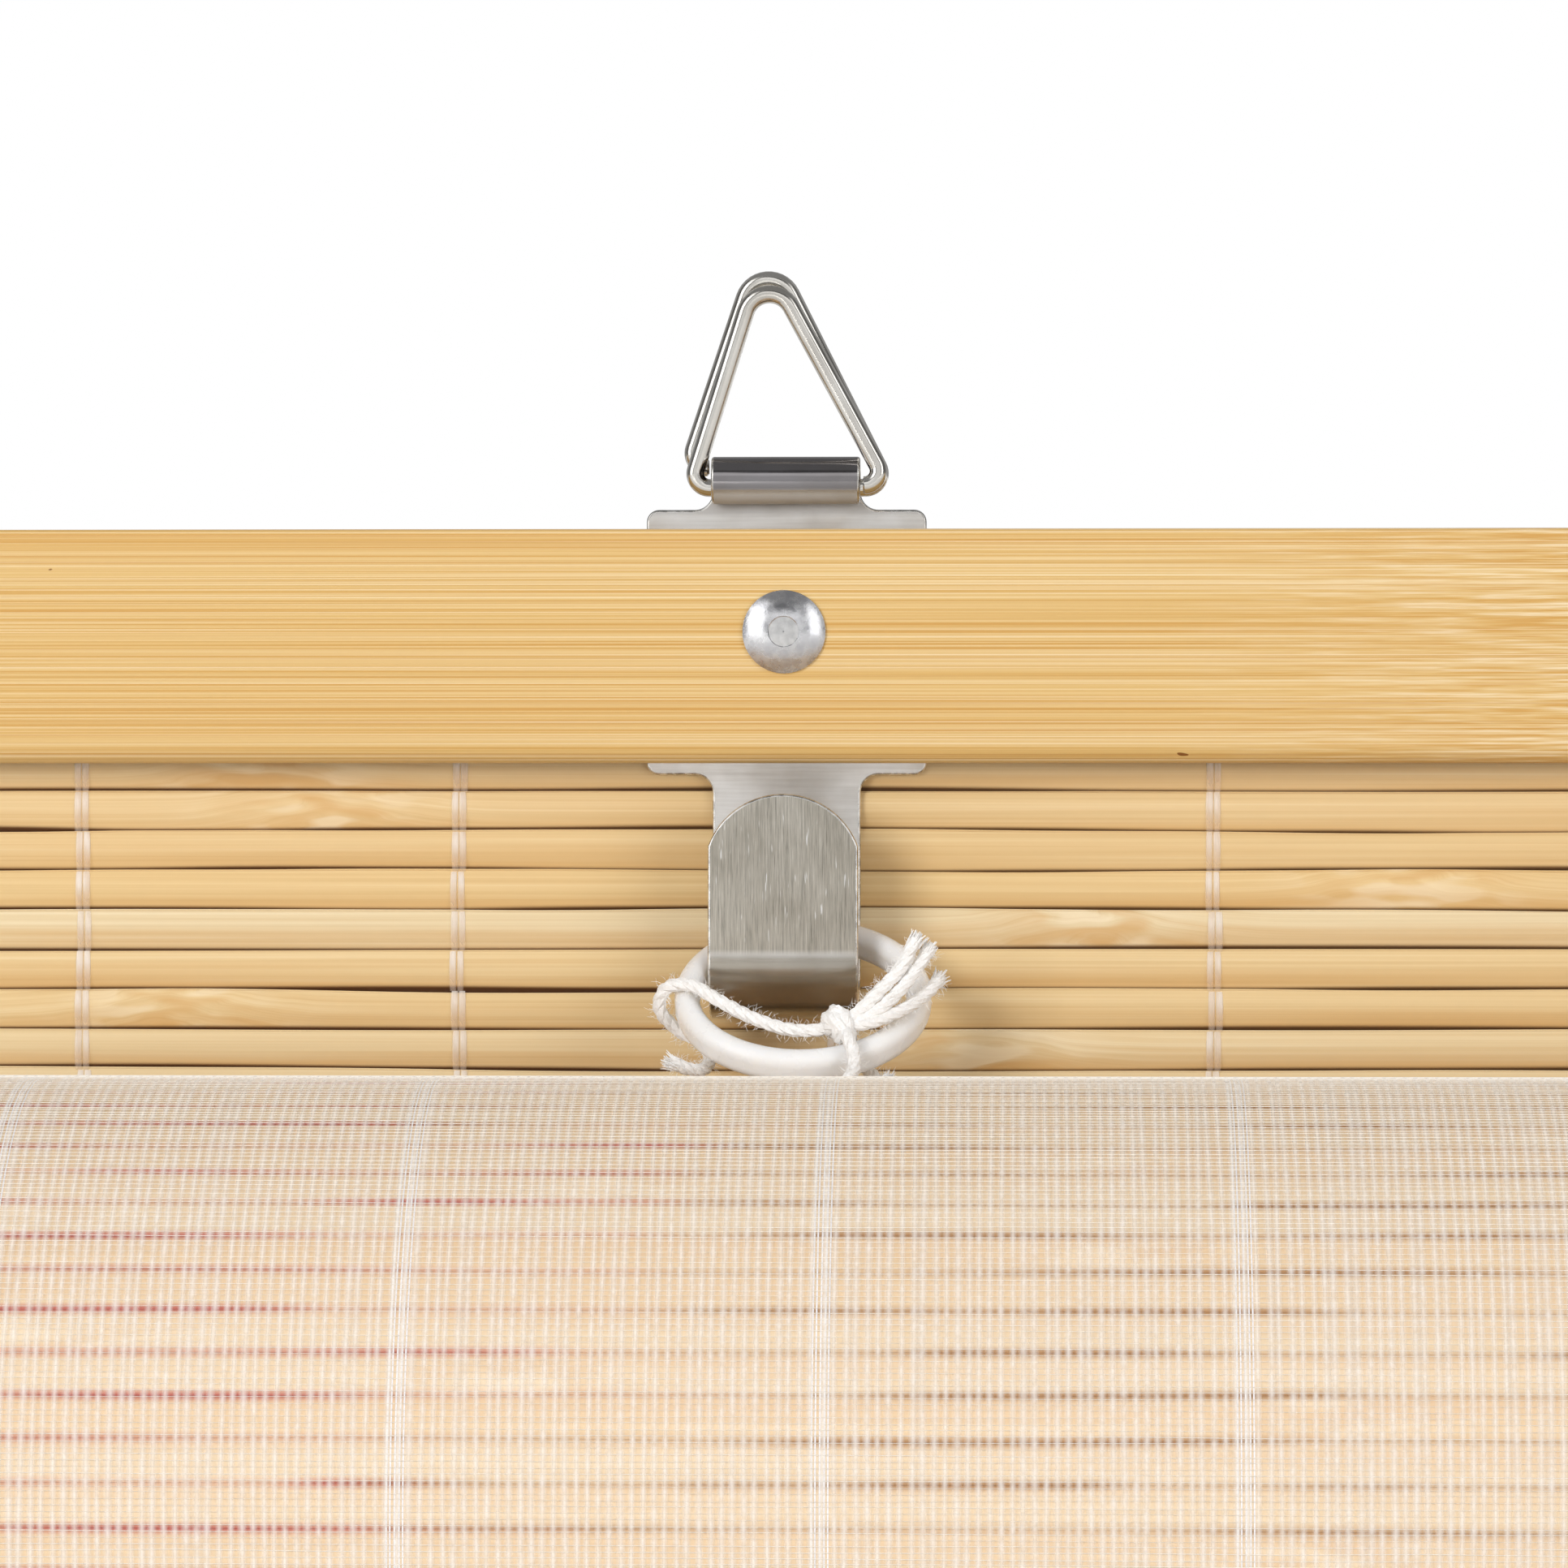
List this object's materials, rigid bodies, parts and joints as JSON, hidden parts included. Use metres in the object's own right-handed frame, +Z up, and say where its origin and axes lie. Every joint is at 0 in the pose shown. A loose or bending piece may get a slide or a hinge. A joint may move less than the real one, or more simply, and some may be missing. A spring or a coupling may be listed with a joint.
{
  "type": "bamboo blind",
  "caption": "Rolled-up bamboo slat blind with a gauze lining, clamped head battens, hook plates with triangle hanging rings, and white lift rings that hold up the roll.",
  "frame": {"origin": "middle of the rear batten's back face, which lies against the wall", "axes": "+X along the blind's width to the viewer's right, +Y towards the wall, +Z up"},
  "size_m": [0.6, 0.1052, 0.1941],
  "materials": {
    "batten_bamboo": "satin lacquer over fine straight grain",
    "slat_bamboo": "raw split bamboo with long fibres",
    "lining_gauze": "open white gauze",
    "thread_nylon": "clear twisted nylon",
    "plate_steel": "zinc plated, brushed lengthways",
    "ring_wire": "bright nickel plated wire",
    "rivet_alloy": "satin",
    "pin_steel": "broken-off end, dull",
    "ring_plastic": "milky white",
    "cotton_cord": "twisted white cotton"
  },
  "bodies": {
    "blind": {"front_batten": "batten_bamboo", "rear_batten": "batten_bamboo", "hanging_slats": "slat_bamboo", "rolled_slats": "slat_bamboo", "gauze_lining": "lining_gauze", "bottom_rod": "batten_bamboo", "binding_thread_01": "thread_nylon", "binding_thread_02": "thread_nylon", "binding_thread_03": "thread_nylon", "binding_thread_04": "thread_nylon", "binding_thread_05": "thread_nylon", "binding_thread_06": "thread_nylon", "binding_thread_07": "thread_nylon", "binding_thread_08": "thread_nylon", "binding_thread_09": "thread_nylon", "binding_thread_10": "thread_nylon", "binding_thread_11": "thread_nylon", "binding_thread_12": "thread_nylon", "binding_thread_13": "thread_nylon", "hook_plate_left": "plate_steel", "hook_plate_right": "plate_steel", "rivet_left": "rivet_alloy", "rivet_right": "rivet_alloy", "rivet_pin_left": "pin_steel", "rivet_pin_right": "pin_steel", "rivet_washer_left": "plate_steel", "rivet_washer_right": "plate_steel", "lift_ring_left": "ring_plastic", "lift_ring_right": "ring_plastic", "tie_cord_left": "cotton_cord", "tie_cord_right": "cotton_cord"},
    "ring_left": {"triangle_ring_left": "ring_wire"},
    "ring_right": {"triangle_ring_right": "ring_wire"}
  },
  "joints": [
    {"name": "ring_left_swing", "type": "hinge", "parent": "blind", "child": "ring_left", "pos_m": [-0.192, -0.01205, 0.0195], "axis": [1, 0, 0], "range_deg": [-50, 100]},
    {"name": "ring_right_swing", "type": "hinge", "parent": "blind", "child": "ring_right", "pos_m": [0.192, -0.01205, 0.0195], "axis": [1, 0, 0], "range_deg": [-50, 100]}
  ]
}
